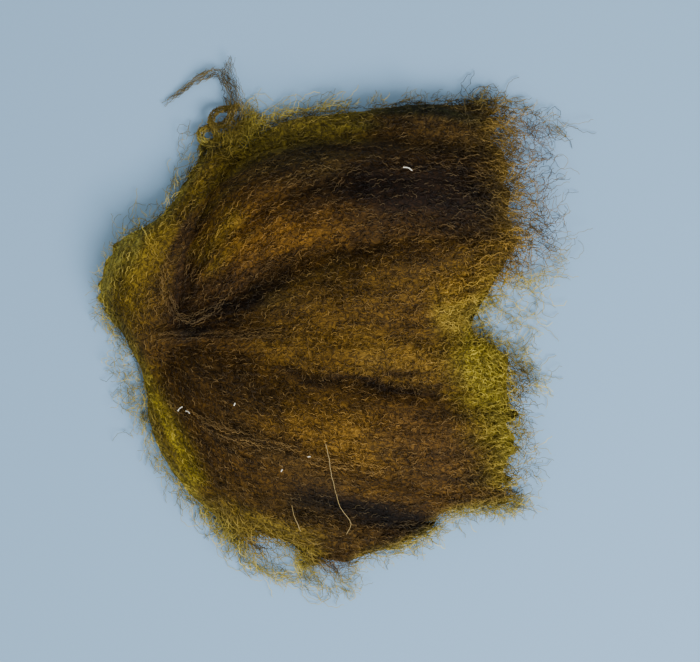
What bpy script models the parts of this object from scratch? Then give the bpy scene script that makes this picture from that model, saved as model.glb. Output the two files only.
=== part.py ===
"""A handful of raw wool fleece, teased open and lying on a flat surface.

The fleece is a fan of staples. A staple is a lock of fibres that grew together, so
each one is its own solid. All of them start at a knot of tangled root ends on the
left, and they open like a hand to the right. Where two locks lie side by side they
share one seam line, and each stops a hair short of it.

Units are metres, +Z is up, +X runs from the knot to the tips. The origin is under
the middle of the whole fleece, on the surface that it lies on.
"""

import math

import bmesh
import bpy
from mathutils import Vector

MM = 0.001

# Driving dimensions, in millimetres.
LOCK_GAP = 0.5  # clear space between the flanks of two neighbouring locks
STATIONS = 20  # sections along a full-length lock
CROWN_POINTS = 12  # points over the top of one section
UNDER_POINTS = 4  # points along its flat underside
FLANK_AT = 0.45  # a flank is widest at this share of its height
UNDERCUT = 0.3  # the flank curls in under itself by this share of its height
MOST_UNDERCUT = 0.12  # but by no more than this share of the lock's width
SHOULDER = 0.03  # the top starts this share of the width in from the flank
RIDGE_HEIGHT = 0.09  # combed ridges stand this share of the wool's height proud
END_CLOSE = 0.55  # the first and last section are this share of their full height
TIP_FROM = 0.72  # share of a lock's length where its tip starts to round out
TIP_REACH = 0.3  # the middle of a tip is this share of its width ahead of its corners

# Seam lines from root to tip: (x, y, height of the wool there), in millimetres.
# Two locks that name the same seam lie side by side along it.
SEAMS = {
    "fold_outer": [
        (-57, -8.2, 4), (-63, 1.5, 4), (-66, 8.5, 4), (-64, 16, 4), (-60.5, 24.5, 3.5),
        (-54, 29, 3), (-47.5, 33.5, 3), (-42.5, 42, 3), (-39, 48, 3), (-33, 52, 2.5),
    ],
    "fold_inner": [
        (-46, -8, 8), (-44.2, -3, 9), (-43.6, 4, 9), (-43, 10.5, 9), (-40.8, 19.5, 9),
        (-37.2, 29, 9), (-33.2, 37.5, 8), (-28.2, 44.2, 6.5), (-25, 47.2, 5),
    ],
    "top_outer": [
        (-24.5, 54, 2.5), (-13.5, 60, 2.5), (0.5, 61.5, 3), (13.5, 63, 3.5),
        (28.5, 64.5, 3.5), (46, 64, 3), (61, 58.5, 2.5),
    ],
    "top_inner": [
        (-22.5, 48.3, 5), (-12.5, 50.6, 8), (0.5, 52, 9), (13.5, 52, 9),
        (28.5, 51, 8), (46, 49.6, 6), (62.5, 49.5, 3),
    ],
    "upper_outer": [
        (-41.8, 9, 9), (-39.6, 19.5, 9), (-36, 29, 9), (-32, 37.3, 8), (-26.5, 43.6, 7),
        (-20.5, 47.4, 7), (-5, 50.5, 8), (13.5, 51, 9), (34, 49.5, 8), (51, 48.2, 6),
        (62.5, 48.5, 3),
    ],
    "upper_amber": [
        (-42, 5.3, 11), (-33, 18, 15), (-24, 29, 18), (-11, 36.5, 19), (6, 40, 19),
        (23, 40, 18), (39.5, 39, 14), (51.5, 36.5, 8), (61, 36.5, 3),
    ],
    "amber_centre": [
        (-42.5, 1.8, 8), (-30.5, 6, 9), (-20, 13, 10), (-7, 19, 12), (8, 22.5, 14),
        (23, 25.5, 14), (39.5, 25.5, 11), (52.5, 23.5, 7), (63.5, 22, 3),
    ],
    "centre_middle": [
        (-43, -1.7, 10), (-28.5, -2, 14), (-14.5, -1, 17), (0.5, 0, 18), (13.5, 0, 16),
        (27.5, 0, 9), (41.5, 5, 4), (52.5, 11, 3), (62, 15, 2.5),
    ],
    "middle_centre": [
        (-43, -2.4, 10), (-28.5, -2.7, 14), (-14.5, -1.7, 17), (0.5, -0.7, 18),
        (13.5, -0.7, 16), (27.5, -1, 9), (37, -0.5, 5), (45, -2.5, 3.5), (55.5, -11, 2.5),
    ],
    "middle_dun": [
        (-43.4, -5.3, 9), (-28.5, -6.5, 11), (-14.5, -8.5, 12), (-3.5, -13, 12),
        (9, -16, 12), (23, -17.5, 12), (37, -19, 10), (45, -20.5, 7), (54, -22, 3),
    ],
    "dun_streaked": [
        (-44.3, -8, 10), (-33, -19.5, 14), (-22, -28, 16), (-9, -34.5, 17),
        (6, -40, 16), (23, -44.5, 13), (39.5, -47.5, 8), (51.5, -47.5, 3),
    ],
    "streaked_dark": [
        (-45.2, -10.4, 8), (-39, -25, 10), (-30.5, -37, 10), (-18.5, -45.5, 9),
        (-3.5, -51, 8), (11.5, -53, 7), (23.5, -53.5, 6), (41.5, -52.5, 4),
        (57, -50.5, 2.5),
    ],
    "dark_streaked": [
        (-45.5, -10.9, 8), (-39.4, -25.3, 10), (-30.8, -37.6, 10), (-18.8, -46.2, 9),
        (-3.7, -51.7, 8), (11.5, -53.7, 7), (22, -54.3, 5), (32, -56, 2.5),
    ],
    "dark_outer": [
        (-47, -12.8, 7), (-43.7, -25, 7), (-38.2, -40, 6), (-28.7, -51.4, 4),
        (-18.5, -58.5, 3), (-7, -63.5, 3), (4, -66, 3), (15.5, -64.5, 3), (30, -58.5, 2.5),
    ],
    "veil_inner": [
        (-47.5, -8.9, 7), (-44.5, -25, 7), (-39, -40, 6), (-30, -51.5, 4),
        (-22.5, -59, 3), (-11.5, -68.5, 2.5),
    ],
    "veil_outer": [
        (-57, -8.9, 4), (-54.5, -16, 3), (-53.5, -27, 3), (-49.5, -37, 3),
        (-41.5, -48, 3), (-33, -55.5, 2.5), (-26.5, -63.5, 2.5), (-18.5, -70, 2.5),
        (-12, -71.5, 2),
    ],
    "wisp_outer": [(-12.5, -63.3, 2.5), (-8.5, -68, 2.5), (-1, -73, 2.2), (5, -74, 2)],
    "wisp_inner": [(-5, -65.3, 3), (0.5, -67, 3), (5, -69, 2.5), (8, -71.5, 2)],
}

# Each lock: its left and right seam, how far its crown stands above the line between
# them (root to tip, in millimetres), how many combed ridges it has, and its colour.
LOCKS = {
    "fold_lock": ("fold_outer", "fold_inner", (4, 9, 9, 6, 2), 2, "#5B4A12"),
    "top_lock": ("top_outer", "top_inner", (1, 4, 6, 5, 1), 2, "#2E2C10"),
    "upper_lock": ("upper_outer", "upper_amber", (1, 7, 9, 6, 1), 3, "#33241A"),
    "amber_lock": ("upper_amber", "amber_centre", (1, 7, 9, 6, 1), 3, "#553A14"),
    "centre_lock": ("amber_centre", "centre_middle", (1, 6, 9, 7, 1), 3, "#5A431A"),
    "middle_lock": ("middle_centre", "middle_dun", (1, 4, 7, 7, 1), 3, "#6F5A1E"),
    "dun_lock": ("middle_dun", "dun_streaked", (1, 6, 8, 6, 1), 3, "#614823"),
    "streaked_lock": ("dun_streaked", "streaked_dark", (1, 5, 5, 3, 1), 3, "#3F2C19"),
    "dark_lock": ("dark_streaked", "dark_outer", (1, 4, 7, 5, 1), 2, "#241A10"),
    "veil_lock": ("veil_inner", "veil_outer", (1, 3, 3, 2, 0.5), 2, "#6E6216"),
    "wisp_lock": ("wisp_inner", "wisp_outer", (0.5, 1, 0.5), 1, "#7A6B2A"),
}

# The curl: two plies that twist round each other, then one thin tail. Millimetres.
CURL_AXIS = [(-35.5, 52.5), (-35.5, 56), (-33.5, 60), (-29.5, 64.5)]
CURL_TURNS = 1.25
CURL_SPREAD = 3.3  # from the axis to a ply, seen from above
CURL_LIFT = 1.1  # from the axis to a ply, up and down
PLY_RADIUS = 1.6
CURL_HEIGHT = 2.9  # the axis of the curl above the surface
CURL_STEPS = 26
TAIL_ROUTE = [
    (-30, 63.5, 2.9), (-29.5, 67.5, 2.6), (-31.5, 71.3, 2.2), (-35, 71.5, 1.8),
    (-39, 69, 1.5), (-43, 66.3, 1.2), (-46.5, 63.5, 0.9),
]
TAIL_RADII = (2.0, 1.8, 1.6, 1.4, 1.1, 0.8, 0.5)
TAIL_STEPS = 30
CURL_COLOUR = "#5A4818"


def linear(hex_colour):
    """The linear RGBA of an sRGB hex colour."""
    channels = [int(hex_colour[i : i + 2], 16) / 255 for i in (1, 3, 5)]
    curved = [
        c / 12.92 if c <= 0.04045 else ((c + 0.055) / 1.055) ** 2.4 for c in channels
    ]
    return (*curved, 1)


def wool(name, hex_colour):
    """Dull, slightly greasy wool: no metal, hardly any gloss."""
    material = bpy.data.materials.new(name)
    material.use_nodes = True
    shader = material.node_tree.nodes["Principled BSDF"]
    shader.inputs["Base Color"].default_value = linear(hex_colour)
    shader.inputs["Roughness"].default_value = 0.85
    shader.inputs["Metallic"].default_value = 0
    return material


def along(points, share):
    """The place at a share of the way along a smooth line through the points."""
    points = [Vector(p) for p in points]
    lengths = [(b - a).length for a, b in zip(points, points[1:])]
    wanted = share * sum(lengths)
    i = 0
    while i < len(lengths) - 1 and wanted > lengths[i]:
        wanted -= lengths[i]
        i += 1
    t = min(1, wanted / lengths[i])
    before = points[i - 1] if i else 2 * points[0] - points[1]
    after = points[i + 2] if i + 2 < len(points) else 2 * points[-1] - points[-2]
    start, end = points[i], points[i + 1]
    # A Catmull-Rom span: it passes through start and end, level with their neighbours.
    return 0.5 * (
        2 * start
        + (end - before) * t
        + (2 * before - 5 * start + 4 * end - after) * t**2
        + (3 * (start - end) + after - before) * t**3
    )


def section(left, right, crown, ridges, phase, reach):
    """The ring of one section of a lock: from its left foot over the top, then under."""
    across = Vector((right.x - left.x, right.y - left.y, 0))
    width = across.length
    inset = LOCK_GAP / 2 / width
    ahead = Vector((-across.y, across.x)) * reach
    ring = []

    def add(u, z):
        flat = left.xy + across.xy * (inset + u * (1 - 2 * inset))
        flat += ahead * math.sin(math.pi * u)
        ring.append(Vector((flat.x, flat.y, z)) * MM)

    foot = [min(UNDERCUT * side.z / width, MOST_UNDERCUT) for side in (left, right)]
    add(foot[0], 0)
    add(0, FLANK_AT * left.z)
    for i in range(CROWN_POINTS):
        turn = math.pi * i / (CROWN_POINTS - 1)
        u = 0.5 - 0.5 * math.cos(turn)
        rise = math.sin(turn)
        height = left.z + (right.z - left.z) * u + crown * rise**0.8
        ridge = RIDGE_HEIGHT * rise * math.sin(2 * math.pi * ridges * u + phase)
        add(SHOULDER + u * (1 - 2 * SHOULDER), height * (1 + ridge))
    add(1, FLANK_AT * right.z)
    for i in range(UNDER_POINTS):
        add(1 - foot[1] - (1 - sum(foot)) * i / UNDER_POINTS, 0)
    return ring


def loft(name, rings):
    """A closed mesh through the rings, with a cap on each end, all facing outwards."""
    mesh = bpy.data.meshes.new(name)
    shape = bmesh.new()
    rows = [[shape.verts.new(p) for p in ring] for ring in rings]
    for near, far in zip(rows, rows[1:]):
        for i in range(len(near)):
            j = (i + 1) % len(near)
            shape.faces.new((near[i], near[j], far[j], far[i]))
    shape.faces.new(reversed(rows[0]))
    shape.faces.new(rows[-1])
    shape.to_mesh(mesh)
    shape.free()
    return mesh


def make_lock(name, left_seam, right_seam, crowns, ridges, colour, collection):
    """One staple: a loft between two seam lines."""
    stations = max(9, round(STATIONS * min(1, len(SEAMS[left_seam]) / 8)))
    profile = [(i, crown, 0) for i, crown in enumerate(crowns)]
    rings = []
    for i in range(stations):
        share = i / (stations - 1)
        left = along(SEAMS[left_seam], share)
        right = along(SEAMS[right_seam], share)
        crown = along(profile, share).y
        if i in (0, stations - 1):
            left.z *= END_CLOSE
            right.z *= END_CLOSE
            crown *= END_CLOSE
        reach = TIP_REACH * max(0, (share - TIP_FROM) / (1 - TIP_FROM)) ** 2
        rings.append(section(left, right, crown, ridges, 4 * share, reach))
    mesh = loft(name, rings)
    mesh.shade_smooth()
    mesh.set_sharp_from_angle(angle=math.radians(50))
    mesh.materials.append(wool("wool_" + name, colour))
    lock = bpy.data.objects.new(name, mesh)
    collection.objects.link(lock)
    return lock


def tube(name, route, radii):
    """A mesh tube along a route in millimetres, with closed ends."""
    curve = bpy.data.curves.new(name, "CURVE")
    curve.dimensions = "3D"
    curve.bevel_depth = MM
    curve.bevel_resolution = 1
    curve.use_fill_caps = True
    spline = curve.splines.new("POLY")
    spline.points.add(len(route) - 1)
    for point, place, radius in zip(spline.points, route, radii):
        point.co = (*(Vector(place) * MM), 1)
        point.radius = radius
    guide = bpy.data.objects.new(name, curve)
    bpy.context.scene.collection.objects.link(guide)
    bpy.context.view_layer.update()
    graph = bpy.context.evaluated_depsgraph_get()
    mesh = bpy.data.meshes.new_from_object(guide.evaluated_get(graph))
    bpy.data.objects.remove(guide)
    shape = bmesh.new()
    shape.from_mesh(mesh)
    bmesh.ops.remove_doubles(shape, verts=shape.verts, dist=0.00001)
    bmesh.ops.recalc_face_normals(shape, faces=shape.faces)
    shape.to_mesh(mesh)
    shape.free()
    return bpy.data.objects.new(name, mesh)


def ply_route(start_turn):
    """One ply of the curl: a flattened helix round the curl's axis."""
    route = []
    for i in range(CURL_STEPS):
        share = i / (CURL_STEPS - 1)
        here = along([(x, y, CURL_HEIGHT) for x, y in CURL_AXIS], share)
        ahead = along([(x, y, CURL_HEIGHT) for x, y in CURL_AXIS], min(1, share + 0.02))
        behind = along([(x, y, CURL_HEIGHT) for x, y in CURL_AXIS], max(0, share - 0.02))
        forward = (ahead - behind).normalized()
        sideways = Vector((forward.y, -forward.x, 0))
        turn = 2 * math.pi * (CURL_TURNS * share + start_turn)
        closing = 0.35 + 0.65 * math.sin(math.pi * min(1, 0.12 + 0.8 * share))
        offset = sideways * CURL_SPREAD * closing * math.cos(turn)
        lift = Vector((0, 0, CURL_LIFT * math.sin(turn)))
        route.append(here + offset + lift)
    return route


def make_curl(collection, cutters):
    """The twisted lock at the top left: two plies and a tail, joined into one solid."""
    plies = [
        tube(f"curl_ply_{i}", ply_route(start), [PLY_RADIUS] * CURL_STEPS)
        for i, start in enumerate((0, 0.5))
    ]
    steps = [i / (TAIL_STEPS - 1) for i in range(TAIL_STEPS)]
    radii = [(i, radius, 0) for i, radius in enumerate(TAIL_RADII)]
    tail = tube(
        "curl",
        [along(TAIL_ROUTE, share) for share in steps],
        [along(radii, share).y for share in steps],
    )
    collection.objects.link(tail)
    for ply in plies:
        cutters.objects.link(ply)
        ply.hide_render = True
        ply.display_type = "WIRE"
        join = tail.modifiers.new("join_" + ply.name, "BOOLEAN")
        join.operation = "UNION"
        join.solver = "EXACT"
        join.object = ply
    tail.data.shade_smooth()
    tail.data.materials.append(wool("wool_curl", CURL_COLOUR))
    return tail


def new_collection(name):
    collection = bpy.data.collections.new(name)
    bpy.context.scene.collection.children.link(collection)
    return collection


def main():
    for obj in list(bpy.data.objects):
        bpy.data.objects.remove(obj)
    fleece = new_collection("raw_wool_fleece")
    cutters = new_collection("cutters")
    for name, (left, right, crowns, ridges, colour) in LOCKS.items():
        make_lock(name, left, right, crowns, ridges, colour, fleece)
    make_curl(fleece, cutters)


main()
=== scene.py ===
# %% [markdown]
# # A handful of raw wool fleece
# Raw fleece is wool as it comes off the animal. Its fibres grew in locks, and each
# fibre is crimped, a small regular wave that makes locks cling to each other. Here a
# handful is teased open into a fan, from a knot of root ends at the left to loose tips
# at the right. It could be made of hair particles, but those have no mesh to export.
# So each lock is a solid core with a combed skin, and thousands of single fibres lie
# over it. They are fewer and thicker than a sheep's, so each stands for a small bunch.
# This first cell loads the frame, which says where each lock is.

# %% The frame
import math

import bpy
import numpy as np
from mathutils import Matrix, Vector
from mathutils.bvhtree import BVHTree


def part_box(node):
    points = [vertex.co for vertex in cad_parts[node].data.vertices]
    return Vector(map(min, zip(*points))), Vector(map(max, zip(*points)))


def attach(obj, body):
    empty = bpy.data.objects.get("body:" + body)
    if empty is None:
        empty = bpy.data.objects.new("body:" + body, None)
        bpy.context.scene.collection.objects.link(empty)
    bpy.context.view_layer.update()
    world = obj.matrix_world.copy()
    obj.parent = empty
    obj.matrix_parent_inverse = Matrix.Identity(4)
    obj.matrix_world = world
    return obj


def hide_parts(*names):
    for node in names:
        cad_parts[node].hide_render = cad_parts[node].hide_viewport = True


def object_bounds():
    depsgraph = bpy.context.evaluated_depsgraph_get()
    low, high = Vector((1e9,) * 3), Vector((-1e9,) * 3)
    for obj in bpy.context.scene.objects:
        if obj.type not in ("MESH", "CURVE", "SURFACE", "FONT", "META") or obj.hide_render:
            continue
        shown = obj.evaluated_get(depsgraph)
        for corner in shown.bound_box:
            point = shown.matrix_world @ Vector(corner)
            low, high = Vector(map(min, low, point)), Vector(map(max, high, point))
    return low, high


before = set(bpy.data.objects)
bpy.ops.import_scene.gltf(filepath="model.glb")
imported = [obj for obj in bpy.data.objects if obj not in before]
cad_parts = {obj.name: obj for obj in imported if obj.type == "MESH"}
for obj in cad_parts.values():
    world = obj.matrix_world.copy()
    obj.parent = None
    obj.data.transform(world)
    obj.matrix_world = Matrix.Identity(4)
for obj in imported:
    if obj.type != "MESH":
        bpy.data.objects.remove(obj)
cad_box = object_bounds()
MM = 0.001
LOCKS = [name for name in sorted(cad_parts) if name != "curl"]
print("locks in the frame:", ", ".join(LOCKS))

# %% [markdown]
# ## Camera
# Wool that lies on a table is looked at from straight above, so the camera hangs over
# it with its top towards +Y. A long lens from 60 cm keeps the near wool from swelling.

# %% Camera
CAMERA_HEIGHT = 600  # mm above the surface
VIEW_WIDTH = 196  # mm of the surface that the picture's width takes in
AIM_X, AIM_Y = 4.5, -0.8  # mm from the middle of the wool to the camera's place
low, high = (corner / MM for corner in cad_box)
centre = (low + high) / 2
camera = bpy.data.objects.new("camera", bpy.data.cameras.new("camera"))
bpy.context.scene.collection.objects.link(camera)
camera.location = Vector((centre.x + AIM_X, centre.y + AIM_Y, CAMERA_HEIGHT)) * MM
camera.data.lens = camera.data.sensor_width * CAMERA_HEIGHT / VIEW_WIDTH
bpy.context.scene.camera = camera
print(f"lens {camera.data.lens:.0f} mm")

# %% [markdown]
# ## Floor and light
# The floor is plain and pale. One wide lamp stands past the lower right of the wool,
# like a window, and an even sky fills the shadows in.

# %% Colours and nodes
def linear(hex_colour):
    """The linear RGBA of an sRGB hex colour."""
    channels = [int(hex_colour[i : i + 2], 16) / 255 for i in (1, 3, 5)]
    curved = [
        c / 12.92 if c <= 0.04045 else ((c + 0.055) / 1.055) ** 2.4 for c in channels
    ]
    return (*curved, 1)


def add(tree, kind, inputs=(), **settings):
    """Adds a node. A value in inputs is a number, a colour or another node's socket."""
    node = tree.nodes.new(kind)
    for name, value in settings.items():
        setattr(node, name, value)
    for name, value in dict(inputs).items():
        if isinstance(value, bpy.types.NodeSocket):
            tree.links.new(value, node.inputs[name])
        else:
            node.inputs[name].default_value = value
    return node


def new_material(name):
    """An empty material, its tree, and its one shader."""
    material = bpy.data.materials.new(name)
    material.use_nodes = True
    return material, material.node_tree, material.node_tree.nodes["Principled BSDF"]


# %% Floor, lamp and sky
bpy.ops.mesh.primitive_plane_add(size=3)
floor = bpy.context.object
floor.name = "floor"
# matte uncoated paper scatters light, so it shows no shine under the lamp
paper, _, paper_shader = new_material("matte_paper")
paper_shader.inputs["Base Color"].default_value = linear("#86ABCD")
paper_shader.inputs["Roughness"].default_value = 0.9
floor.data.materials.append(paper)


def lamp(name, place, size, watts):
    """A square soft lamp at a place in mm, turned to the wool."""
    data = bpy.data.lights.new(name, "AREA")
    data.size, data.energy = size * MM, watts
    made = bpy.data.objects.new(name, data)
    made.location = Vector(place) * MM
    made.rotation_euler = (-made.location).to_track_quat("-Z", "Y").to_euler()
    bpy.context.scene.collection.objects.link(made)


lamp("window", place=(470, -480, 650), size=500, watts=14)
sky = bpy.data.worlds.new("sky")
sky.use_nodes = True
sky.node_tree.nodes["Background"].inputs["Color"].default_value = linear("#F1F1EE")
sky.node_tree.nodes["Background"].inputs["Strength"].default_value = 0.8
bpy.context.scene.world = sky
print("floor, window and sky are up")

# %% [markdown]
# ## Where each lock lies
# The frame's locks have flat undersides. The outline of an underside has two long
# sides, and those are the lock's seams. Reading them from the frame tells which way the
# wool is combed everywhere, so the comb isn't drawn by eye. Fibres run from the knot to
# the tips, between the two seams.

# %% Read the seams of each lock
ALONG = 60  # places along a seam
HALFWAY = ALONG // 2
ON_FLOOR = 0.01  # mm, below this a corner belongs to the flat underside
knot = np.array([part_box("centre_lock")[0].x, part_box("centre_lock")[0].y]) / MM


def outline_of(node):
    """The corners of a lock's flat underside, in order, in millimetres."""
    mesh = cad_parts[node].data
    places = [tuple(round(c / MM, 3) for c in v.co) for v in mesh.vertices]
    border = set()
    for face in mesh.polygons:
        corners = [places[i] for i in face.vertices]
        if all(z < ON_FLOOR for _, _, z in corners):
            for a, b in zip(corners, corners[1:] + corners[:1]):
                if (b, a) in border:
                    border.remove((b, a))
                else:
                    border.add((a, b))
    following = dict(border)
    loop = [min(following)]
    while following[loop[-1]] != loop[0]:
        loop.append(following[loop[-1]])
    return np.array(loop)[:, :2]


def seams_of(node):
    """A lock's left and right seam from root to tip, with ALONG places on each."""
    loop = outline_of(node)
    ahead = np.roll(loop, -1, 0) - loop
    heading = np.arctan2(ahead[:, 1], ahead[:, 0])
    turn = np.abs((heading - np.roll(heading, 1) + np.pi) % (2 * np.pi) - np.pi)
    corners = sorted(np.argsort(turn)[-4:])
    sides = []
    for start, end in zip(corners, corners[1:] + [corners[0] + len(loop)]):
        side = loop[np.arange(start, end + 1) % len(loop)]
        gone = np.r_[0, np.cumsum(np.linalg.norm(np.diff(side, axis=0), axis=1))]
        even = np.linspace(0, gone[-1], ALONG)
        side = np.stack([np.interp(even, gone, side[:, k]) for k in (0, 1)], 1)
        if np.linalg.norm(side[0] - knot) > np.linalg.norm(side[-1] - knot):
            side = side[::-1]
        sides.append((gone[-1], side))
    (_, one), (_, other) = sorted(sides, key=lambda side: side[0])[-2:]
    forward = one[HALFWAY] - one[HALFWAY - 2]
    across = other[HALFWAY] - one[HALFWAY]
    if forward[0] * across[1] - forward[1] * across[0] > 0:
        one, other = other, one
    return one, other


seams = {name: seams_of(name) for name in LOCKS}
lengths = {
    name: np.linalg.norm(np.diff(sum(pair) / 2, axis=0), axis=1).sum()
    for name, pair in seams.items()
}
for name in LOCKS:
    print(f"{name}: {lengths[name]:.0f} mm long")

# %% [markdown]
# ## The lay of the wool
# A comb needs to know three things at any spot: how high the wool is, which way it runs,
# and which lock it belongs to. All are kept as small maps, one value for each square
# millimetre. The heights come from rays sent down on the frame's locks, and a blur
# rounds the creases off, as wool does.

# %% Maps of height, direction and lock
MARGIN = 24  # mm of map round the wool
SHARE_OF_FOOT = 0.16  # a lock's flanks bulge past its feet by this share of its width
CREASE = 0.5  # how much of the frame's creases show: loose wool fills the rest
CREASE_REACH, FILL_REACH = 2.5, 5  # mm of blur, for creases that stay and that fill up
BRIDGE = (-44, -2), (40, 2)  # mm, the ends of a seam that the wool lies over
BRIDGE_WIDTH = 6  # mm
EDGE_REACH = 3.5  # mm of blur, how far in the wool's edge is felt
GAP_FILLED = 0.52  # a gap is wool where this share of its surroundings is
map_low = np.array([low.x - MARGIN, low.y - MARGIN])
map_size = np.ceil([high.x + MARGIN - map_low[0], high.y + MARGIN - map_low[1]])
columns, rows = (int(n) for n in map_size)


def blur(field, reach):
    """A field smoothed over a reach in millimetres."""
    steps = np.arange(-3 * reach, 3 * reach + 1)
    weights = np.exp(-0.5 * (steps / reach) ** 2)
    weights /= weights.sum()
    for axis in (0, 1):
        field = np.apply_along_axis(np.convolve, axis, field, weights, "same")
    return field


def smooth(value, start, end):
    """0 before start and 1 after end, eased between."""
    t = np.clip((value - start) / (end - start), 0, 1)
    return t * t * (3 - 2 * t)


def off_line(xy, start, end):
    """How far places are from a line, in millimetres."""
    start, line = np.array(start), np.subtract(end, start)
    part = np.clip(((xy - start) @ line) / (line @ line), 0, 1)
    return np.linalg.norm(xy - start - part[..., None] * line, axis=-1)


def at(field, xy):
    """A map's value at places in millimetres, blended between its squares."""
    spot = np.clip((xy - map_low) - 0.5, 0, [columns - 1.001, rows - 1.001])
    i, j = spot[..., 0].astype(int), spot[..., 1].astype(int)
    a, b = spot[..., 0] - i, spot[..., 1] - j
    if field.ndim == 3:
        a, b = a[..., None], b[..., None]
    near = field[i, j] * (1 - a) + field[i + 1, j] * a
    far = field[i, j + 1] * (1 - a) + field[i + 1, j + 1] * a
    return near * (1 - b) + far * b


def inside(name, u, s):
    """Places in a lock: u from its left flank to its right, s from root to tip."""
    left, right = seams[name]
    k = s * (ALONG - 1)
    i = np.clip(np.floor(k), 0, ALONG - 2).astype(int)
    part = (k - i)[..., None]
    at_left = left[i] * (1 - part) + left[i + 1] * part
    at_right = right[i] * (1 - part) + right[i + 1] * part
    over = (u * (1 + 2 * SHARE_OF_FOOT) - SHARE_OF_FOOT)[..., None]
    return at_left + (at_right - at_left) * over


# the share of its length where a lock's dense wool ends, at its left and right flank
DENSE_TO = {
    "amber_lock": (0.84, 0.87),
    "centre_lock": (0.86, 0.72),
    "dark_lock": (0.97, 0.9),
    "dun_lock": (0.94, 0.95),
    "fold_lock": (1.1, 1.06),
    "middle_lock": (0.81, 0.94),
    "streaked_lock": (0.91, 0.88),
    "top_lock": (0.74, 0.79),
    "upper_lock": (0.83, 0.83),
    "veil_lock": (0.78, 0.66),
    "wisp_lock": (0.4, 0.2),
}


def dense_end(name, u):
    """The share of a lock's length where its dense wool ends, from flank to flank."""
    left, right = DENSE_TO[name]
    return left + (right - left) * u


corners, faces = [], []
for name in LOCKS:
    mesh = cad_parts[name].data
    first = len(corners)
    corners += [v.co.copy() for v in mesh.vertices]
    faces += [[first + i for i in face.vertices] for face in mesh.polygons]
ray_target = BVHTree.FromPolygons(corners, faces)
raw_height = np.zeros((columns, rows))
for i in range(columns):
    for j in range(rows):
        spot = Vector((map_low[0] + i + 0.5, map_low[1] + j + 0.5, 60)) * MM
        hit = ray_target.ray_cast(spot, Vector((0, 0, -1)))[0]
        raw_height[i, j] = hit.z / MM if hit else 0
under_ray = (raw_height > 0).astype(float)
is_wool = (raw_height > 0) | (blur(under_ray, EDGE_REACH) > GAP_FILLED)
covered = blur(is_wool.astype(float), 1)
creased = blur(raw_height, CREASE_REACH)
filled = blur(raw_height, FILL_REACH) / np.maximum(blur(under_ray, FILL_REACH), 0.05)
squares = np.stack(np.meshgrid(range(columns), range(rows), indexing="ij"), 2) + map_low
bridged = np.exp(-((off_line(squares, *BRIDGE) / BRIDGE_WIDTH) ** 2))
crease = CREASE * (1 - bridged)
soft_edge = blur(is_wool.astype(float), 2)
inland = smooth(blur(is_wool.astype(float), EDGE_REACH), 0.5, 0.95)
rounded = smooth(covered, 0.1, 1) * np.sqrt(0.2 + 0.8 * inland)
height = rounded * (filled + crease * (creased - filled))

owner = np.full((columns, rows), -1)
past_end = np.zeros((columns, rows))
direction = np.zeros((columns, rows, 2))
for number, name in enumerate(LOCKS):
    u, s = np.meshgrid(np.linspace(0, 1, 80), np.linspace(0, 0.98, 240))
    here, ahead = inside(name, u, s), inside(name, u, s + 0.015)
    cell = (here - map_low).astype(int)
    owner[cell[..., 0], cell[..., 1]] = number
    past_end[cell[..., 0], cell[..., 1]] = s - dense_end(name, u)
    direction[cell[..., 0], cell[..., 1]] = ahead - here
direction /= np.maximum(np.linalg.norm(direction, axis=2, keepdims=True), 1e-9)
comb = np.stack([sum(blur(direction[..., k], r) for r in (2, 6, 12)) for k in (0, 1)], 2)
comb /= np.maximum(np.linalg.norm(comb, axis=2, keepdims=True), 1e-9)
outward = np.stack(np.gradient(-blur(covered, 4)), 2)
outward /= np.maximum(np.linalg.norm(outward, axis=2, keepdims=True), 1e-9)
print(f"wool covers {(raw_height > 0).sum() / 100:.0f} square cm, {height.max():.0f} mm high")

# %% [markdown]
# ## The dye
# The wool is naturally brown and was dyed unevenly: green-black where the dye was
# strongest, amber where it was weak. Thin wool at the edges lets light through and
# looks yellow. A solid core lets none through, so that yellow is painted light. The
# colour of a spot builds up in this order: the brown of the wool, strokes of dye, two
# of them painted light on the shaded upper left rim, the painted yellow glow of the thin
# edge, and lumps and streaks that are partly painted light and shade. Each stroke is a
# line in millimetres.

# %% Colour of the wool at any place
BROWN = "#46300A"
# painted light: the yellow glow of light shining through thin wool at its edges
THIN_WOOL_GLOW = "#A29438"
STROKE_STRAY = 6  # mm from side to side that the edge of a stroke wanders
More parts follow.
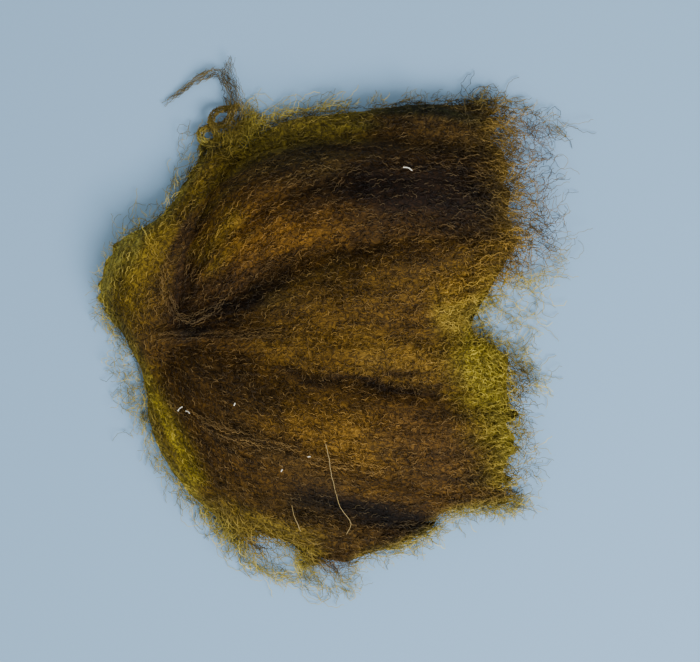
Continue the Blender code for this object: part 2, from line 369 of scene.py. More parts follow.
# from (x, y), to (x, y) and width in mm, strength, colour
STROKES = [
    ((-38, 8), (55, 31), 9, 0.8, "#3C280C"),
    ((-36, 24), (-4, 26), 7, 0.9, "#684811"),
    ((-5, 43), (46, 32), 10, 1.0, "#190D05"),
    ((-26, 44), (-2, 44), 6, 0.7, "#443412"),
    ((-35, 19), (-27, 29), 3.5, 0.8, "#6A5614"),
    ((-18, 8), (0, 15), 4, 0.5, "#4E4420"),
    ((10, 49), (46, 50), 3, 0.7, "#3A2C12"),
    ((8, 60), (40, 59), 5, 1.0, "#1B1D0A"),
    ((-26, 50), (4, 58), 6, 0.9, "#665A1A"),
    ((-60, 6), (-48, 26), 8, 0.9, "#705C12"),
    ((-52, 0), (-48, 10), 5, 0.5, "#5A4310"),
    ((-43, 2), (-37, 32), 3.5, 0.9, "#2E1D08"),
    ((-38, 36), (-28, 48), 5, 0.7, "#665610"),
    ((-40, -2), (-12, 16), 2.5, 0.9, "#180E06"),
    ((-5, 8), (45, 18), 9, 0.8, "#5A4212"),
    ((34, 6), (50, 12), 5, 0.8, "#94781C"),
    ((32, 12), (50, 24), 4, 0.6, "#7E6018"),
    ((32, 2), (46, 1), 3.5, 0.8, "#9A822C"),
    ((-15, -4), (26, -8), 7, 0.8, "#644A12"),
    ((10, -8), (30, -10), 4, 0.5, "#70561E"),
    ((42, -8), (50, -36), 8, 1.0, "#9A8A26"),
    ((-14, -12), (28, -17), 1.8, 0.9, "#1C1004"),
    ((-12, -24), (10, -32), 8, 0.9, "#705218"),
    ((18, -28), (38, -34), 8, 0.6, "#5A401A"),
    ((-36, -12), (-16, -22), 5, 0.7, "#342408"),
    ((-30, -28), (0, -44), 4, 0.6, "#483618"),
    ((-10, -49), (24, -53), 4.0, 1.0, "#100904"),
    ((-30, -44), (10, -60), 4, 0.4, "#4A3814"),
    ((-34, -52), (-6, -62), 4, 0.7, "#857326"),
    ((-51, -16), (-39, -42), 3.5, 0.8, "#847618"),
    ((48, 58), (57, 16), 7, 0.85, "#7C6424"),
    # painted light: these two pale yellow strokes brighten the upper left rim, which faces
    # away from the lamp, with the glow of thin wool
    ((-64, 14), (-50, 31), 4, 0.9, "#A0943A"),
    ((-50, 34), (-38, 52), 3.5, 0.8, "#A0943A"),
]


def mottle(x, y, seed):
    """Smooth random values from 0 to 1, one bump for each step of x and of y."""
    grid = np.random.default_rng(seed).random((64, 64))
    i, j = np.floor(x).astype(int), np.floor(y).astype(int)
    a, b = x - i, y - j
    a, b = a * a * (3 - 2 * a), b * b * (3 - 2 * b)
    corner = [grid[(i + p) % 64, (j + q) % 64] for p in (0, 1) for q in (0, 1)]
    near = corner[0] * (1 - b) + corner[1] * b
    far = corner[2] * (1 - b) + corner[3] * b
    return near * (1 - a) + far * a


def mix(below, above, cover):
    """One colour laid over others, by how much it covers them."""
    return below * (1 - cover[..., None]) + np.array(above[:3]) * cover[..., None]


def dye_and_painted_light(xy):
    """The linear colour of the wool at places in millimetres: dyed, with painted light."""
    run = at(comb, xy)
    left_of_run = np.stack([-run[..., 1], run[..., 0]], -1)
    along, across = (xy * run).sum(-1), (xy * left_of_run).sum(-1)
    ragged = (mottle(across / 2.2, along / 9, 3) - 0.5) * STROKE_STRAY
    moved = xy + ragged[..., None] * left_of_run
    colour = np.zeros(3) + linear(BROWN)[:3]
    for start, end, width, strength, shade in STROKES:
        cover = strength * np.exp(-((off_line(moved, start, end) / width) ** 2))
        colour = mix(colour, linear(shade), cover)
    dark_corner = smooth(xy[..., 0], 0, 30) * smooth(xy[..., 1], 10, 30)
    on_curl = smooth(xy[..., 1], 46, 51) * (1 - smooth(xy[..., 0], -27, -22))
    # painted light: the yellow glow of thin wool, strongest at the wool's edge and weaker in
    # the dark corner and by the curl
    thin = (1 - at(inland, xy)) * (0.9 - 0.65 * np.maximum(dark_corner, on_curl))
    colour = mix(colour, linear(THIN_WOOL_GLOW), thin)
    # lighter and darker lumps and combed streaks: partly the wool's own uneven tone, partly
    # painted light and shade of its lumps and strands
    clumps = mottle(xy[..., 0] / 3.5, xy[..., 1] / 3.5, 5)
    streaks = mottle(across / 1.1, along / 12, 8)
    return colour * (0.5 + 0.5 * clumps + 0.5 * streaks)[..., None]


print("dyed with", len(STROKES), "strokes")

# %% [markdown]
# ## Cores
# Under the loose fibres a lock is a dense mass. Its core is a loft between the seams,
# a little below the wool's surface, with combed ridges raised on it. A core's tip is
# ragged, and most stop short of their lock's tip, which is only loose fibre. Each core
# stands in its lock's place in the frame and replaces it.

# %% Wool as a surface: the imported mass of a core
WAVE = 1.6  # mm from one crimp to the next
# A real fibre is some 0.03 mm thick, too fine to show, so the streaks that stand for
# fibres are drawn many times coarser.
STREAKS_PER_MM = 1.9
STREAKS_TURN = (-0.45, 0.5)  # radians, two layers of fibres that cross each other
STREAKS_STRETCH = 0.42  # below 1 it draws the streaks out along the comb
FIBRE_RELIEF = 0.7  # mm that the bump raises a streak


def packed_wool():
    """Dense raw wool: matte, streaked with short crimped fibres on its UV map, in mm, with
    painted light and shade on them.
    """
    material, tree, shader = new_material("raw_wool_packed")
    uv = add(tree, "ShaderNodeUVMap", uv_map="comb_mm").outputs["UV"]
    drift = add(tree, "ShaderNodeTexNoise", {"Vector": uv, "Scale": 0.6})
    bent = add(
        tree,
        "ShaderNodeVectorMath",
        {0: drift.outputs["Color"], 1: (3.0, 3.0, 0.0), 2: uv},
        operation="MULTIPLY_ADD",
    )
    layers = []
    for turn in STREAKS_TURN:
        laid = add(
            tree,
            "ShaderNodeMapping",
            {
                "Vector": bent.outputs[0],
                "Rotation": (0, 0, turn),
                "Scale": (1.0, STREAKS_STRETCH, 1.0),
            },
        )
        strands = add(
            tree,
            "ShaderNodeTexNoise",
            {"Vector": laid.outputs[0], "Scale": STREAKS_PER_MM, "Detail": 2.0},
        )
        layers.append(strands.outputs["Fac"])
    upper = add(tree, "ShaderNodeMath", dict(enumerate(layers)), operation="MAXIMUM")
    # painted light and shade: the streaks scale the dyed colour from 0.35 to 1.4, partly
    # fibres of lighter and darker wool, partly painted light on their crests and painted
    # shade in the gaps between them
    shade = add(
        tree,
        "ShaderNodeMapRange",
        {
            "Value": upper.outputs[0],
            "From Min": 0.47,
            "From Max": 0.68,
            "To Min": 0.35,
            "To Max": 1.4,
        },
    )
    dyed = add(tree, "ShaderNodeVertexColor", layer_name="dye_and_painted_light")
    tinted = add(
        tree,
        "ShaderNodeVectorMath",
        {0: dyed.outputs["Color"], "Scale": shade.outputs[0]},
        operation="SCALE",
    )
    bump = add(
        tree,
        "ShaderNodeBump",
        {"Height": upper.outputs[0], "Strength": 1.0, "Distance": FIBRE_RELIEF * MM},
    )
    tree.links.new(tinted.outputs[0], shader.inputs["Base Color"])
    tree.links.new(bump.outputs[0], shader.inputs["Normal"])
    shader.inputs["Roughness"].default_value = 0.8
    shader.inputs["IOR"].default_value = 1.55
    shader.inputs["Specular IOR Level"].default_value = 0.12
    return material


wool_packed = packed_wool()

# %% Build the cores
CORE_ROWS, CORE_COLUMNS = 90, 46
CORE_DEPTH = 0.8  # mm that a core's surface lies below the wool's
TUCK = 1.2  # mm that a core's flanks dip, to slip under the next core without a step
STAND = 0.2  # mm under a core's feet, where loose fibres take its weight
# mm that a core shrinks back at the wool's edge, where only fuzz shows
DRAW_IN = {"fold_lock": 5.5, "top_lock": 10, "veil_lock": 6.5}
OTHERS_DRAW_IN = 8
# where a core begins, as a share of its lock's length: below 0 is behind the root
CORE_FROM = {"top_lock": -0.2, "fold_lock": -0.1}
OTHERS_FROM = -0.07
# where a core's flanks are, when its lock's left flank is 0 and its right one is 1
CORE_ACROSS = {"dark_lock": (-0.13, 0.93), "veil_lock": (-0.6, 1.13)}
OTHERS_ACROSS = (-0.13, 1.13)
# how ragged a core's tip is: teeth from flank to flank, and their size as a share of
# the lock's length
TEETH = {4: 0.08, 13: 0.06, 27: 0.025}
TIP_SINK = 0.3  # share of its height that a core loses at its tip
THINNEST = 0.3  # mm, of a core above its feet


def paint(mesh):
    """Gives each corner of a mesh the colour, painted light included, of the place where it
    lies.
    """
    xyz = np.zeros(len(mesh.vertices) * 3)
    mesh.vertices.foreach_get("co", xyz)
    colours = np.ones((len(mesh.vertices), 4))
    colours[:, :3] = dye_and_painted_light(xyz.reshape(-1, 3)[:, :2] / MM)
    layer = mesh.color_attributes.new("dye_and_painted_light", "FLOAT_COLOR", "POINT")
    layer.data.foreach_set("color", colours.ravel())


def ridges(across, along, seed):
    """How proud the combed strands stand, in mm, for places in mm."""
    broad = mottle(across / 4, along / 16, seed)
    narrow = mottle(across / 1.4, along / 5, seed + 1)
    return 1.2 * broad + 0.8 * narrow - 1.0


def tube_faces(rings, count):
    """Faces that join rings of count corners each, and close both ends."""
    k = np.arange(count)
    ahead = (k + 1) % count
    faces = [
        face
        for r in range(rings - 1)
        for face in (r * count + np.stack([k, ahead, ahead + count, k + count], 1)).tolist()
    ]
    return faces + [k[::-1].tolist(), ((rings - 1) * count + k).tolist()]


def core_of(name, seed):
    """A lock's dense mass: rings from side to side, each closed along the floor."""
    u, s = np.meshgrid(
        0.5 - 0.5 * np.cos(np.linspace(0.1, 0.9, CORE_COLUMNS) * np.pi),
        np.linspace(0, 1, CORE_ROWS),
    )
    u = (u - u.min()) / (u.max() - u.min())
    ragged = sum(
        size * (mottle(u * teeth, u * 0, seed + teeth) - 0.5)
        for teeth, size in TEETH.items()
    )
    root = CORE_FROM.get(name, OTHERS_FROM)
    end = dense_end(name, u)
    s = root + s * (end - root + ragged)
    left, right = CORE_ACROSS.get(name, OTHERS_ACROSS)
    flat = inside(name, left + u * (right - left), s)
    drawn_in = np.clip(0.9 - at(soft_edge, flat), 0, 1) * DRAW_IN.get(name, OTHERS_DRAW_IN)
    drawn_in *= 0.8 + 0.4 * mottle(flat[..., 0] / 2.5, flat[..., 1] / 2.5, seed + 4)
    flat -= at(outward, flat) * drawn_in[..., None]
    width = np.linalg.norm(flat[:, -1] - flat[:, 0], axis=1)[:, None]
    across, along = (u - 0.5) * width, s * lengths[name]
    z = at(height, flat) - CORE_DEPTH + ridges(across, along, seed)
    z -= TUCK * smooth(np.abs(2 * u - 1), 0.85, 1)
    tip = smooth(s - end, -0.08, 0.05)
    z = np.maximum(z * (1 - TIP_SINK * tip), STAND + THINNEST)
    rings = np.concatenate([flat, z[..., None]], 2)
    feet = rings[:, [-1, 0]] * (1, 1, 0) + (0, 0, STAND)
    rings = np.concatenate([rings, feet], 1)
    faces = tube_faces(CORE_ROWS, CORE_COLUMNS + 2)
    mesh = bpy.data.meshes.new(name + "_core")
    mesh.from_pydata((rings.reshape(-1, 3) * MM).tolist(), [], faces)
    # the pattern carries on down the walls under the flanks
    uv = np.stack([across, along], 2)
    down = z[:, [-1, 0], None] * ((1, 0), (-1, 0))
    uv = np.concatenate([uv, uv[:, [-1, 0]] + down], 1).reshape(-1, 2)
    corner = np.zeros(len(mesh.loops), int)
    mesh.loops.foreach_get("vertex_index", corner)
    mesh.uv_layers.new(name="comb_mm").uv.foreach_set("vector", uv[corner].ravel())
    paint(mesh)
    mesh.shade_smooth()
    mesh.materials.append(wool_packed)
    core = bpy.data.objects.new(name + "_core", mesh)
    bpy.context.scene.collection.objects.link(core)
    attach(core, "root")
    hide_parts(name)
    return core


cores = [core_of(name, 10 * n) for n, name in enumerate(LOCKS)]
print("cores:", sum(len(core.data.polygons) for core in cores), "faces")

# %% [markdown]
# ## Fibres
# A fibre is drawn in two steps. Its path is a line of points that follows the comb over
# the wool. Geometry Nodes then spin the path into wool: they bend it into crimps, give
# it thickness with thin ends, and skin it. The nodes do this for a whole lock at once,
# with the crimp and thickness as inputs.

# %% Geometry Nodes that spin paths into crimped fibres
POINTS_PER_WAVE = 3.0
CRIMP_LIFT = 0.6  # how high a crimp swings, for each millimetre that it swings sideways
STRAY_PER_METRE = 450.0  # scale of the noise that leads fibres astray
END_THINNING = 0.8  # share of its thickness that a fibre loses at its ends
SIDES = 3  # a fibre is too thin for more to show


def spinning_nodes():
    """Turns a mesh of paths into fibres, and gives its inputs' identifiers by name."""
    tree = bpy.data.node_groups.new("spin_wool", "GeometryNodeTree")
    names = {}
    for name, kind in (
        ("Geometry", "Geometry"),
        ("Crimp wave", "Float"),
        ("Crimp height", "Float"),
        ("Stray", "Float"),
        ("Thickness", "Float"),
        ("Wool", "Material"),
    ):
        socket = tree.interface.new_socket(
            name, in_out="INPUT", socket_type="NodeSocket" + kind
        )
        names[name] = socket.identifier
    tree.interface.new_socket(
        "Geometry", in_out="OUTPUT", socket_type="NodeSocketGeometry"
    )
    given = add(tree, "NodeGroupInput").outputs
    phase = add(tree, "GeometryNodeInputNamedAttribute", {"Name": "phase"}).outputs[0]
    thick = add(tree, "GeometryNodeInputNamedAttribute", {"Name": "thick"}).outputs[0]
    paths = add(tree, "GeometryNodeMeshToCurve", {"Mesh": given["Geometry"]})
    spacing = add(
        tree,
        "ShaderNodeMath",
        {0: given["Crimp wave"], 1: POINTS_PER_WAVE},
        operation="DIVIDE",
    )
    fine = add(
        tree,
        "GeometryNodeResampleCurve",
        {"Curve": paths.outputs[0], "Length": spacing.outputs[0]},
        mode="LENGTH",
    )
    # crimp: along its length a fibre circles round its path, once for each wave
    on = add(tree, "GeometryNodeSplineParameter").outputs
    forward = add(tree, "GeometryNodeInputTangent").outputs[0]
    turns = add(
        tree,
        "ShaderNodeMath",
        {0: on["Length"], 1: given["Crimp wave"]},
        operation="DIVIDE",
    )
    angle = add(
        tree,
        "ShaderNodeMath",
        {0: turns.outputs[0], 1: 2 * math.pi, 2: phase},
        operation="MULTIPLY_ADD",
    )
    swing = add(tree, "ShaderNodeMath", {0: angle.outputs[0]}, operation="SINE")
    lift = add(tree, "ShaderNodeMath", {0: angle.outputs[0]}, operation="COSINE")
    side = add(
        tree,
        "ShaderNodeVectorMath",
        {0: forward, 1: (0, 0, 1)},
        operation="CROSS_PRODUCT",
    )
    sideways = add(
        tree,
        "ShaderNodeVectorMath",
        {0: side.outputs[0], "Scale": swing.outputs[0]},
        operation="SCALE",
    )
    upwards = add(tree, "ShaderNodeCombineXYZ", {"Z": lift.outputs[0]})
    circling = add(
        tree,
        "ShaderNodeVectorMath",
        {0: upwards.outputs[0], 1: (0, 0, CRIMP_LIFT), 2: sideways.outputs[0]},
        operation="MULTIPLY_ADD",
    )
    crimp = add(
        tree,
        "ShaderNodeVectorMath",
        {0: circling.outputs[0], "Scale": given["Crimp height"]},
        operation="SCALE",
    )
    # stray: noise pushes each fibre its own way, because its phase is its seed
    noise = add(
        tree,
        "ShaderNodeTexNoise",
        {"Scale": STRAY_PER_METRE, "W": phase},
        noise_dimensions="4D",
    )
    centred = add(
        tree,
        "ShaderNodeVectorMath",
        {0: noise.outputs["Color"], 1: (0.5, 0.5, 0.5)},
        operation="SUBTRACT",
    )
    stray = add(
        tree,
        "ShaderNodeVectorMath",
        {0: centred.outputs[0], "Scale": given["Stray"]},
        operation="SCALE",
    )
    offset = add(
        tree, "ShaderNodeVectorMath", {0: crimp.outputs[0], 1: stray.outputs[0]}
    )
    moved = add(
        tree,
        "GeometryNodeSetPosition",
        {"Geometry": fine.outputs[0], "Offset": offset.outputs[0]},
    )
    # taper: a fibre is even for most of its length and thin at both ends
    doubled = add(
        tree,
        "ShaderNodeMath",
        {0: on["Factor"], 1: 2.0, 2: -1.0},
        operation="MULTIPLY_ADD",
    )
    to_end = add(
        tree, "ShaderNodeMath", {0: doubled.outputs[0], 1: 4.0}, operation="POWER"
    )
    taper = add(
        tree,
        "ShaderNodeMath",
        {0: to_end.outputs[0], 1: -END_THINNING, 2: 1.0},
        operation="MULTIPLY_ADD",
    )
    radius = add(
        tree, "ShaderNodeMath", {0: taper.outputs[0], 1: thick}, operation="MULTIPLY"
    )
    shaped = add(
        tree,
        "GeometryNodeSetCurveRadius",
        {"Curve": moved.outputs[0], "Radius": radius.outputs[0]},
    )
    # skin: a closed tube with few sides, in wool
    half = add(
        tree, "ShaderNodeMath", {0: given["Thickness"], 1: 0.5}, operation="MULTIPLY"
    )
    ring = add(
        tree,
        "GeometryNodeCurvePrimitiveCircle",
        {"Resolution": SIDES, "Radius": half.outputs[0]},
    )
    skin = add(
        tree,
        "GeometryNodeCurveToMesh",
        {
            "Curve": shaped.outputs[0],
            "Profile Curve": ring.outputs[0],
            "Fill Caps": True,
        },
    )
    even = add(tree, "GeometryNodeSetShadeSmooth", {"Geometry": skin.outputs[0]})
    real = add(tree, "GeometryNodeRealizeInstances", {"Geometry": even.outputs[0]})
    dressed = add(
        tree,
        "GeometryNodeSetMaterial",
        {"Geometry": real.outputs[0], "Material": given["Wool"]},
    )
    add(tree, "NodeGroupOutput", {"Geometry": dressed.outputs[0]})
    return tree, names


spin_wool, spin_inputs = spinning_nodes()
print("spinning nodes:", len(spin_wool.nodes))

# %% [markdown]
# Each fibre gets a phase, a tint and a thickness of its own. A stripe of light and dark
# fibres side by side is what makes wool look like wool, so the tints vary widely.

# %% Single fibres
def loose_wool():
    """One wool fibre: keratin, so slightly glossy, each a little lighter or darker, the
    lighter ones with a painted pale highlight.
    """
    material, tree, shader = new_material("raw_wool_fibre")
    dyed = add(tree, "ShaderNodeVertexColor", layer_name="dye_and_painted_light")
    tint = add(tree, "ShaderNodeAttribute", attribute_name="tint")
    scaled = add(
        tree,
        "ShaderNodeVectorMath",
        {0: dyed.outputs["Color"], "Scale": tint.outputs["Fac"]},
        operation="SCALE",
    )
    # painted highlight: fibres with a tint above 0.7 get up to 0.2 of a pale tan added, for
    # light glinting on them
    above = add(
        tree,
        "ShaderNodeMapRange",
        {"Value": tint.outputs["Fac"], "From Min": 0.7, "From Max": 1.7, "To Max": 0.2},
    )
    pale = add(
        tree,
        "ShaderNodeVectorMath",
        {0: linear("#A08A5C")[:3], "Scale": above.outputs[0]},
        operation="SCALE",
    )
    with_painted_highlight = add(
        tree, "ShaderNodeVectorMath", {0: scaled.outputs[0], 1: pale.outputs[0]}
    )
    tree.links.new(with_painted_highlight.outputs[0], shader.inputs["Base Color"])
    shader.inputs["Roughness"].default_value = 0.6
    shader.inputs["IOR"].default_value = 1.55
    shader.inputs["Specular IOR Level"].default_value = 0.2
    return material


wool_loose = loose_wool()
PATH_STEP = 1.5  # mm between the points of a path
LOWEST = 0.6  # mm, the height of a fibre that lies on the floor
STIFF = 2.5  # mm that a fibre drops below its middle at most, where wool falls away
DIVE = 1.2  # mm that a fibre's ends dip into the wool
rng = np.random.default_rng(7)


def lay(start, lie, length, heading, bend, rise, level=None):
    """Paths over the wool, as an array of fibre, point, xyz in millimetres.

    lie is a map of directions. heading and bend are angles off it, at the middle and
    for each centimetre. A fibre is rise above the wool that it crosses, or above its
    own level if it has one, and it drops at most STIFF below its middle.
    """
    steps = max(2, int(np.ceil(length.max() / PATH_STEP)))
    stride = length / steps
    places = [start]
    for n in range(steps):
        run = at(lie, places[-1])
        angle = np.arctan2(run[:, 1], run[:, 0]) + heading
        angle += bend * stride * (n - steps / 2) / 10
        step = np.stack([np.cos(angle), np.sin(angle)], 1) * stride[:, None]
        places.append(places[-1] + step)
    flat = np.stack(places, 1)
    dive = DIVE * np.abs(np.linspace(-1, 1, steps + 1)) ** 3
    ground = at(height, flat) if level is None else level[:, None]
    z = ground + rise[:, None] - dive
    z = np.maximum(z, np.maximum(z[:, steps // 2, None] - STIFF, LOWEST))
    return np.concatenate([flat, z[..., None]], 2)


def spin(name, paths, wave, crimp, stray, thickness, tints):
    """Makes fibres of paths, colours them and attaches them to the root body. All sizes are
    in mm.
    """
    count, points = paths.shape[:2]
    mesh = bpy.data.meshes.new(name)
    first = np.arange(count)[:, None] * points + np.arange(points - 1)
    edges = np.stack([first, first + 1], 2).reshape(-1, 2)
    mesh.from_pydata((paths.reshape(-1, 3) * MM).tolist(), edges.tolist(), [])
    own = {
        "phase": rng.uniform(0, 2 * math.pi, count),
        "tint": np.exp(rng.uniform(*np.log(tints), count)),
        "thick": rng.uniform(0.7, 1.3, count),
    }
    for label, values in own.items():
        layer = mesh.attributes.new(label, "FLOAT", "POINT")
        layer.data.foreach_set("value", np.repeat(values, points))
    made = bpy.data.objects.new(name, mesh)
    bpy.context.scene.collection.objects.link(made)
    nodes = made.modifiers.new("spin", "NODES")
    nodes.node_group = spin_wool
    nodes[spin_inputs["Crimp wave"]] = wave * MM
    nodes[spin_inputs["Crimp height"]] = crimp * MM
    nodes[spin_inputs["Stray"]] = stray * MM
    nodes[spin_inputs["Thickness"]] = thickness * MM
    nodes[spin_inputs["Wool"]] = wool_loose
    graph = bpy.context.evaluated_depsgraph_get()
    made.data = bpy.data.meshes.new_from_object(made.evaluated_get(graph))
    made.modifiers.remove(nodes)
    bpy.data.meshes.remove(mesh)
    made.data.name = name
    paint(made.data)
    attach(made, "root")
    corners, faces = len(made.data.loops), len(made.data.polygons)
    print(f"{name}: {count} fibres, {corners - 2 * faces} triangles")
    return made


# %% [markdown]
# The fibres on the mass lie along the comb where the wool was drawn out, and turn off it
# where it is felted. So each lock says how wild its fibres are. A fibre here is 0.2 mm
# thick, several times a real one, or it would not show.

# %% Lay fibres on the mass of each lock
LAID_PER_CM2 = 88
LAID = 0.2  # mm, the thickness of a fibre on the mass
DENSE_EDGE = 0.72  # softened cover above which wool is mass and not edge
THATCH = 1.8  # extra fibres where the dense wool ends, as a share of those elsewhere
# how far fibres turn off the comb, in radians
WILD = {
    "amber_lock": 0.45,
    "centre_lock": 0.7,
    "dark_lock": 0.3,
    "dun_lock": 0.6,
    "fold_lock": 0.5,
    "middle_lock": 0.8,
    "streaked_lock": 0.3,
    "top_lock": 0.3,
    "upper_lock": 0.35,
    "veil_lock": 0.4,
    "wisp_lock": 0.3,
}


def scattered(cells, count, weights=None):
    """Places in mm spread over squares of the map."""
    picked = rng.choice(len(cells), count, p=weights)
    return cells[picked] + rng.random((count, 2)) + map_low


for number, name in enumerate(LOCKS):
    laid_here = smooth(-past_end, -0.16, 0.02)
    thatch = THATCH * np.exp(-(((past_end + 0.02) / 0.08) ** 2))
    mass = np.argwhere((soft_edge > DENSE_EDGE) & (owner == number) & (laid_here > 0))
    weights = (laid_here * (1 + thatch))[mass[:, 0], mass[:, 1]]
    count = int(weights.sum() / 100 * LAID_PER_CM2)
    start = scattered(mass, count, weights / weights.sum())
    length = rng.uniform(1.5, 4.2, count)
    start -= at(comb, start) * length[:, None] / 2
    heading = rng.normal(0, WILD[name], count)
    bend = rng.normal(0, 2 * WILD[name], count)
    paths = lay(start, comb, length, heading, bend, rng.uniform(-0.6, 0.4, count))
    spin(name + "_laid", paths, WAVE, 0.25, 1.4, LAID, (0.3, 1.7))

# %% [markdown]
# Past the dense wool the tips thin out into a haze of single curly fibres. They start
# more often near the mass, and they have less crimp but stray more, because nothing
# holds them.

# %% Thin out the tips
TIP_PER_CM2 = 60
HAIR = 0.17  # mm, the thickness of a loose hair, drawn several times a real one
HAIR_WAVE = 2.6  # mm, loose hairs have a longer crimp
for number, name in enumerate(LOCKS):
    remaining = 1 - smooth(past_end, -0.02, 0.17)
    haze = np.argwhere((owner == number) & (past_end > -0.08))
    if len(haze) == 0:
        continue
    weights = 0.1 + remaining[haze[:, 0], haze[:, 1]]
    weights /= weights.sum()
    count = int(len(haze) / 100 * TIP_PER_CM2)
    start = scattered(haze, count, weights)
    length = rng.uniform(3, 8, count)
    heading = rng.normal(0, 1.1, count)
    bend = rng.normal(0, 3, count)
    level = rng.uniform(0, 1, count) * at(height, start)
    paths = lay(start, comb, length, heading, bend, rng.uniform(0, 1, count), level)
    spin(name + "_tips", paths, HAIR_WAVE, 0.2, 1.8, HAIR, (0.4, 1.6))

# %% Fuzz along the edge of the wool
FUZZ_PER_CM2 = 150
FUZZ = 0.12  # mm, the thickness of a hair at the edge
rim = is_wool & (covered < 0.97)
for number, name in enumerate(LOCKS):
    mine = np.argwhere(rim & (owner == number))
    count = int(len(mine) / 100 * FUZZ_PER_CM2)
    if count == 0:
        continue
    start = scattered(mine, count)
    length = rng.uniform(1.2, 4, count)
    heading = rng.normal(0, 0.9, count)
    bend = rng.normal(0, 3, count)
    level = rng.uniform(0, 1, count) * at(filled, start)
    lie = comb + outward
    paths = lay(start, lie, length, heading, bend, rng.uniform(0, 1, count), level)
    spin(name + "_fuzz", paths, HAIR_WAVE, 0.2, 1.2, FUZZ, (0.5, 1.6))

# %% [markdown]
# Some places have more loose wool than others: a veil over the top edge, wisps at the
# bottom, curls in the gap between the locks at the right. These are laid in beds, lines
# in millimetres with a width. Each bed says how many hairs it has, how long they are,
# which way they run and how much they spread.

# %% Beds of loose hair
BED_HAIR = 0.14  # mm, the thickness of a hair in a bed
# lock, from (x, y), to (x, y), width, hairs, length, heading and spread in degrees
BEDS = [
    ("top_lock", (-24, 57), (0, 60), 1.4, 120, 9, 12, 18),
    ("top_lock", (-28, 56), (-23, 60), 1.6, 50, 6, 55, 50),
    ("top_lock", (20, 62), (46, 62), 0.7, 18, 5, 4, 40),
    ("top_lock", (52, 59), (60, 50), 2.0, 35, 6, -20, 80),
    ("top_lock", (52, 56), (64, 56), 0.8, 20, 9, -5, 20),
    ("upper_lock", (52, 48), (60, 36), 4.0, 35, 7, -30, 80),
    ("top_lock", (48, 58), (49, 50), 2.2, 90, 4, -20, 60),
    ("upper_lock", (48, 50), (49, 38), 2.2, 130, 4, -10, 60),
    ("amber_lock", (50, 38), (50, 22), 2.2, 140, 4, 20, 60),
    ("amber_lock", (58, 36), (61, 20), 2.0, 50, 8, 65, 40),
    ("centre_lock", (44, 15), (58, 12), 3.0, 130, 7, 25, 50),
    ("centre_lock", (38, 3), (58, 2), 1.6, 60, 6, 0, 70),
    ("middle_lock", (52, -2), (56, -18), 2.5, 60, 6, 10, 90),
    ("dun_lock", (53, -24), (55, -42), 1.6, 80, 5, 0, 90),
    ("streaked_lock", (30, -51), (54, -49), 1.3, 200, 4, 0, 90),
    ("dark_lock", (8, -63), (30, -57), 0.7, 60, 4, 10, 40),
    ("dark_lock", (-20, -55), (2, -65), 2.2, 130, 7, -30, 25),
    ("dark_lock", (24, -56), (34, -54), 1.2, 50, 4, 0, 60),
    ("wisp_lock", (-12, -58), (2, -69), 1.2, 50, 9, -42, 16),
    ("wisp_lock", (-26, -66), (-5, -73), 0.6, 40, 9, -14, 14),
    ("veil_lock", (-33, -47), (-21, -59), 1.8, 240, 6, -42, 35),
    ("veil_lock", (-38, -50), (-22, -65), 1.4, 70, 10, -48, 16),
    ("veil_lock", (-53, -32), (-41, -49), 0.8, 40, 4, -58, 40),
    ("veil_lock", (-60, -9), (-54, -26), 2.2, 110, 4, -75, 90),
    ("fold_lock", (-66, 6), (-60, -4), 1.0, 60, 3, -70, 60),
    ("fold_lock", (-63, 22), (-54, 31), 1.3, 16, 8, 55, 30),
    ("fold_lock", (-47, 38), (-39, 54), 1.2, 24, 7, 62, 20),
    ("fold_lock", (-31, 50), (-22, 56), 2.0, 750, 3.6, 40, 60),
]
FLAT_LIE = np.zeros((columns, rows, 2)) + (1, 0)
for number, bed in enumerate(BEDS):
    name, start, end, width, hairs, length, heading, spread = bed
    spot = np.linspace(start, end, hairs) + rng.normal(0, width, (hairs, 2))
    turn = np.radians(heading + rng.normal(0, spread, hairs))
    paths = lay(
        spot,
        FLAT_LIE,
        length * rng.uniform(0.5, 1.3, hairs),
        turn,
        rng.normal(0, 2 + spread / 30, hairs),
        rng.uniform(0.2, 3, hairs),
        at(height, spot) * rng.uniform(0, 1, hairs),
    )
    spin(f"{name}_bed_{number}", paths, HAIR_WAVE, 0.2, 1.4, BED_HAIR, (0.5, 2.0))

# %% [markdown]
# ## The curl
# One thin lock at the top left has twisted round itself in two plies, with a loose tail
# and a tuft. A ply is a bundle: short fibres that wind round one route inside a radius.

# %% Twist the curl
def resampled(route, step):
    """The points of a route, step millimetres apart."""
    gone = np.r_[0, np.cumsum(np.linalg.norm(np.diff(route, axis=0), axis=1))]
    even = np.linspace(0, gone[-1], int(gone[-1] / step) + 1)
    return np.stack([np.interp(even, gone, route[:, k]) for k in range(3)], 1)


